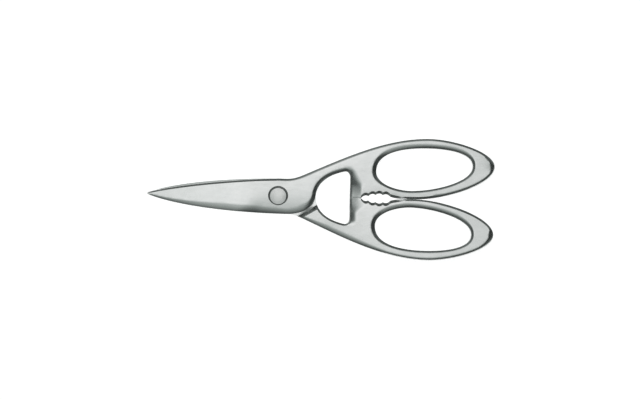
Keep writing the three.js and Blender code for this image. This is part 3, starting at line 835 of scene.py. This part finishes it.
# Parts of the patterns' range that show, and the roughness that some of them give
CLOUD_RANGE = (0.3, 0.7)
PIT_STAIN = (0.27, 0.2)
PIT_SHAPE = (0.35, 0.2)
LINE_ROUGHNESS = (0.25, 0.75, 0.2, 0.28)
SMEAR_ROUGHNESS = (0.35, 0.7, -0.01, 0.02)
RING_RANGE = (0.3, 0.7)

# Tones of the metal, from its darker to its lighter clouds, and where its edges are worn bright
HANDLE_TONES = (0.672, 0.682, 0.677, 1), (0.7, 0.707, 0.703, 1)
BLADE_TONES = (0.745, 0.755, 0.75, 1), (0.77, 0.777, 0.773, 1)
PIT_TONE = (0.4, 0.41, 0.4, 1)
WORN_TONE = (0.76, 0.765, 0.76, 1)
WORN_POLISH = 0.06
WORN_GAIN = 1.15
WORN_POINTINESS = (0.52, 0.6)
STAINLESS_TONES = (0.53, 0.538, 0.534, 1), (0.63, 0.637, 0.63, 1)
SPRING_TONES = (0.3, 0.3, 0.31, 1), (0.42, 0.42, 0.43, 1)
BRONZE_TONES = (0.38, 0.25, 0.11, 1), (0.52, 0.36, 0.17, 1)


# Materials
class Graph:
    """The nodes of a material or of the world."""

    def __init__(self, owner):
        owner.use_nodes = True
        self.owner = owner
        self.nodes = owner.node_tree.nodes
        self.links = owner.node_tree.links

    def add(self, kind, **inputs):
        """A node whose inputs are numbers, colours or the outputs of other nodes."""
        node = self.nodes.new(kind)
        for name, value in inputs.items():
            self.set(node.inputs[name.replace("_", " ")], value)
        return node

    def set(self, socket, value):
        if isinstance(value, bpy.types.NodeSocket):
            self.links.new(value, socket)
        else:
            socket.default_value = value

    def place(self, kind="Object"):
        return self.add("ShaderNodeTexCoord").outputs[kind]

    def noise(self, stretch, detail=2.0):
        """Noise between 0 and 1 with stretch cells a metre along each axis."""
        place = self.add("ShaderNodeMapping", Vector=self.place(), Scale=stretch).outputs["Vector"]
        texture = self.add("ShaderNodeTexNoise", Vector=place, Scale=1.0, Detail=detail)
        return texture.outputs["Fac"]

    def worn(self):
        """From 0 on flat faces to 1 on edges that stick out."""
        pointiness = self.add("ShaderNodeNewGeometry").outputs["Pointiness"]
        return self.spread(pointiness, *WORN_POINTINESS)

    def spread(self, value, low, high, start=0.0, end=1.0, kind="LINEAR"):
        """Maps a value from low to high onto start to end, held at both."""
        node = self.nodes.new("ShaderNodeMapRange")
        node.interpolation_type = kind
        for socket, given in zip(node.inputs, (value, low, high, start, end)):
            self.set(socket, given)
        return node.outputs["Result"]

    def math(self, operation, *values):
        node = self.nodes.new("ShaderNodeMath")
        node.operation = operation
        for socket, value in zip(node.inputs, values):
            self.set(socket, value)
        return node.outputs["Value"]

    def blend(self, share, first, second):
        """A colour between two others."""
        node = self.nodes.new("ShaderNodeMix")
        node.data_type = "RGBA"
        for name, value in (("Factor_Float", share), ("A_Color", first), ("B_Color", second)):
            self.set(next(s for s in node.inputs if s.identifier == name), value)
        return next(s for s in node.outputs if s.identifier == "Result_Color")

    def bump(self, height, distance, **inputs):
        node = self.add("ShaderNodeBump", Height=height, Distance=distance, Strength=1.0, **inputs)
        return node.outputs["Normal"]

    def metal(self, tone, rough, normal):
        """The material, as a metal with these outputs."""
        inputs = self.nodes["Principled BSDF"].inputs
        inputs["Metallic"].default_value = 1.0
        for name, value in (("Base Color", tone), ("Roughness", rough), ("Normal", normal)):
            self.set(inputs[name], value)
        return self.owner


def satin_steel():
    """Forged stainless steel, brushed along its length, with the blades ground across."""
    graph = Graph(bpy.data.materials.new("satin_stainless_steel"))
    x = graph.add("ShaderNodeSeparateXYZ", Vector=graph.place()).outputs["X"]
    blade_end = PIVOT.x - HOLLOW["start"] * MM
    on_blade = graph.spread(x, blade_end, blade_end - GRINDING_FADE)
    ground = graph.math("MULTIPLY", graph.noise(GRINDING), on_blade)
    off_blade = graph.math("SUBTRACT", 1.0, on_blade)
    brushed = graph.math("MULTIPLY", graph.noise(BRUSHING), off_blade)
    lines = graph.math("ADD", ground, brushed)
    smear = graph.noise(SMEARS, detail=4.0)
    pits = graph.noise(PITS, detail=1.0)
    worn = graph.worn()

    cloud = graph.spread(graph.noise(CLOUDS, detail=3.0), *CLOUD_RANGE)
    handle = graph.blend(cloud, *HANDLE_TONES)
    blade = graph.blend(cloud, *BLADE_TONES)
    tone = graph.blend(on_blade, handle, blade)
    tone = graph.blend(graph.spread(pits, *PIT_STAIN), tone, PIT_TONE)
    tone = graph.blend(worn, tone, WORN_TONE)

    line_rough = graph.spread(lines, *LINE_ROUGHNESS)
    smear_rough = graph.spread(smear, *SMEAR_ROUGHNESS)
    rough = graph.math("ADD", line_rough, smear_rough)
    rough = graph.math("SUBTRACT", rough, graph.math("MULTIPLY", worn, WORN_POLISH))

    normal = graph.bump(lines, LINE_HEIGHT)
    normal = graph.bump(graph.spread(pits, *PIT_SHAPE), PIT_HEIGHT, Normal=normal)
    return graph.metal(tone, rough, normal)


def turned_metal(name, tones, rough_range, rings_per_metre):
    """Metal turned on a lathe: fine uneven rings about the pivot axis, and a soft change of
    tone."""
    graph = Graph(bpy.data.materials.new(name))
    centred = graph.add("ShaderNodeVectorMath")
    centred.operation = "SUBTRACT"
    graph.set(centred.inputs[0], graph.place())
    graph.set(centred.inputs[1], PIVOT)
    offset = graph.add("ShaderNodeSeparateXYZ", Vector=centred.outputs["Vector"]).outputs
    squares = [graph.math("POWER", offset[axis], 2.0) for axis in "XY"]
    radius = graph.math("SQRT", graph.math("ADD", *squares))
    spun = graph.add("ShaderNodeCombineXYZ", X=radius, Z=offset["Z"]).outputs["Vector"]
    rings = graph.add("ShaderNodeTexNoise", Vector=spun, Scale=rings_per_metre, Detail=3.0)
    rings = rings.outputs["Fac"]
    cloud = graph.spread(graph.noise(TURNED_CLOUDS, detail=3.0), *CLOUD_RANGE)
    worn_tone = tuple(min(1.0, WORN_GAIN * c) for c in tones[1])
    tone = graph.blend(graph.worn(), graph.blend(cloud, *tones), worn_tone)
    rough = graph.spread(rings, *RING_RANGE, *rough_range)
    return graph.metal(tone, rough, graph.bump(rings, RING_HEIGHT))


# Into the frame
def settle(piece, body, node, material, turned_over=False):
    """Sets a piece that is drawn in millimetres around the pivot into the frame, in place of its
    CAD node."""
    place = Matrix.Translation(PIVOT) @ Matrix.Scale(MM, 4)
    if turned_over:
        place = place @ Matrix.Rotation(math.pi, 4, "X")
    piece.data.transform(place)
    piece.data.shade_smooth()
    piece.data.set_sharp_from_angle(angle=SHARP_ANGLE)
    piece.data.materials.clear()
    piece.data.materials.append(material)
    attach(piece, body)
    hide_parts(node)


satin = satin_steel()
bright = turned_metal("turned_stainless_steel", STAINLESS_TONES, (0.2, 0.3), rings_per_metre=7000)
sprung = turned_metal("spring_steel", SPRING_TONES, (0.3, 0.45), rings_per_metre=5000)
bronze = turned_metal("bearing_bronze", BRONZE_TONES, (0.3, 0.5), rings_per_metre=5000)

front_half = half("front_half_forged", FRONT_SEAT, keyed=True)
rear_half = half("rear_half_forged", REAR_SEAT, keyed=False)
stud = pivot_stud("pivot_stud_turned")
screw = pivot_screw("pivot_screw_threaded")
coned_washer = spring_washer("spring_washer_coned")
ring_washer = bearing_washer("bearing_washer_ring")
settle(front_half, "front", "front_half", satin)
settle(rear_half, "rear", "rear_half", satin, turned_over=True)
settle(stud, "front", "pivot_stud", bright)
settle(screw, "front", "pivot_screw", bright, turned_over=True)
settle(coned_washer, "rear", "spring_washer", sprung, turned_over=True)
settle(ring_washer, "front", "bearing_washer", bronze)


# Studio
FLOOR_SIZE = 8.0
FLOOR_GLOW = 0.82
FLOOR_COLOUR = (0.86, 0.86, 0.86, 1)
LIGHT_STRENGTH = 1.27
LIGHT_COLOUR = (1, 1, 1, 1)
DARK_COLOUR = (0.88, 1, 0.95, 1)
# The light's edges, by a part of the ray's direction: where it is dark and where it is bright, and
# the share of light that is left in the dark
LIGHT_EDGES = (
    ("X", 0.36, 0.03, 0.035),
    ("X", -0.55, -0.04, 0.08),
    ("Y", -0.3, 0.06, 0.5),
    ("Y", -0.9, -0.2, 0.1),
    ("Y", 0.88, 0.45, 0.07),
)
CORNER_LIGHT = 0.15
CAMERA_LENS = 100
PICTURE_WIDTH = 0.3744
PICTURE_CENTRE = (-0.00016, -0.001675)
PICTURE_TURN = math.radians(1.3666)


def floor():
    """A floor that looks evenly pale, also in the metal, and still takes the shadow."""
    reach = FLOOR_SIZE / 2
    mesh = bpy.data.meshes.new("floor")
    corners = [(-reach, -reach, 0), (reach, -reach, 0), (reach, reach, 0), (-reach, reach, 0)]
    mesh.from_pydata(corners, [], [(0, 1, 2, 3)])
    made = bpy.data.objects.new("floor", mesh)
    bpy.context.scene.collection.objects.link(made)
    graph = Graph(bpy.data.materials.new("pale_floor"))
    graph.nodes.clear()
    rays = graph.add("ShaderNodeLightPath").outputs
    seen = rays["Is Camera Ray"]
    for name in ("Is Glossy Ray", "Is Transmission Ray"):
        seen = graph.math("MAXIMUM", seen, rays[name])
    glow = graph.add("ShaderNodeEmission", Strength=graph.math("MULTIPLY", seen, FLOOR_GLOW))
    matte = graph.add("ShaderNodeBsdfDiffuse", Color=FLOOR_COLOUR)
    both = graph.add("ShaderNodeAddShader")
    graph.set(both.inputs[0], glow.outputs["Emission"])
    graph.set(both.inputs[1], matte.outputs["BSDF"])
    graph.add("ShaderNodeOutputMaterial", Surface=both.outputs["Shader"])
    mesh.materials.append(graph.owner)


def studio_light():
    """A large soft light above. It reaches far on the front half's side (+Y), fades out gradually
    on the rear half's side (-Y) and towards the blade tips (-X), and ends just past the zenith
    towards the loops (+X). A faint light in the four corners between these keeps flat faces from
    going black in views from the side."""
    world = bpy.data.worlds.new("studio")
    bpy.context.scene.world = world
    graph = Graph(world)
    ray = graph.add("ShaderNodeSeparateXYZ", Vector=graph.place("Generated")).outputs
    light = 1.0
    for axis, dark, lit, least in LIGHT_EDGES:
        edge = graph.spread(ray[axis], dark, lit, least, 1.0, kind="SMOOTHSTEP")
        light = graph.math("MULTIPLY", light, edge)
    # Four times the square of X times Y is 1 at the horizon midway between two axes.
    corner = graph.math("MULTIPLY", ray["X"], ray["Y"])
    corner = graph.math("MULTIPLY", corner, corner)
    light = graph.math("MULTIPLY_ADD", corner, 4 * CORNER_LIGHT, light)
    background = graph.nodes["Background"].inputs
    graph.set(background["Strength"], graph.math("MULTIPLY", light, LIGHT_STRENGTH))
    graph.set(background["Color"], graph.blend(light, DARK_COLOUR, LIGHT_COLOUR))


def camera():
    """The photograph's camera, which looks straight down."""
    data = bpy.data.cameras.new("camera")
    data.lens = CAMERA_LENS
    made = bpy.data.objects.new("camera", data)
    bpy.context.scene.collection.objects.link(made)
    distance = PICTURE_WIDTH * CAMERA_LENS / data.sensor_width
    made.location = (*PICTURE_CENTRE, PIVOT.z + distance)
    made.rotation_euler = (0, 0, PICTURE_TURN)
    bpy.context.scene.camera = made


floor()
studio_light()
camera()
bpy.context.scene.view_settings.view_transform = "Standard"
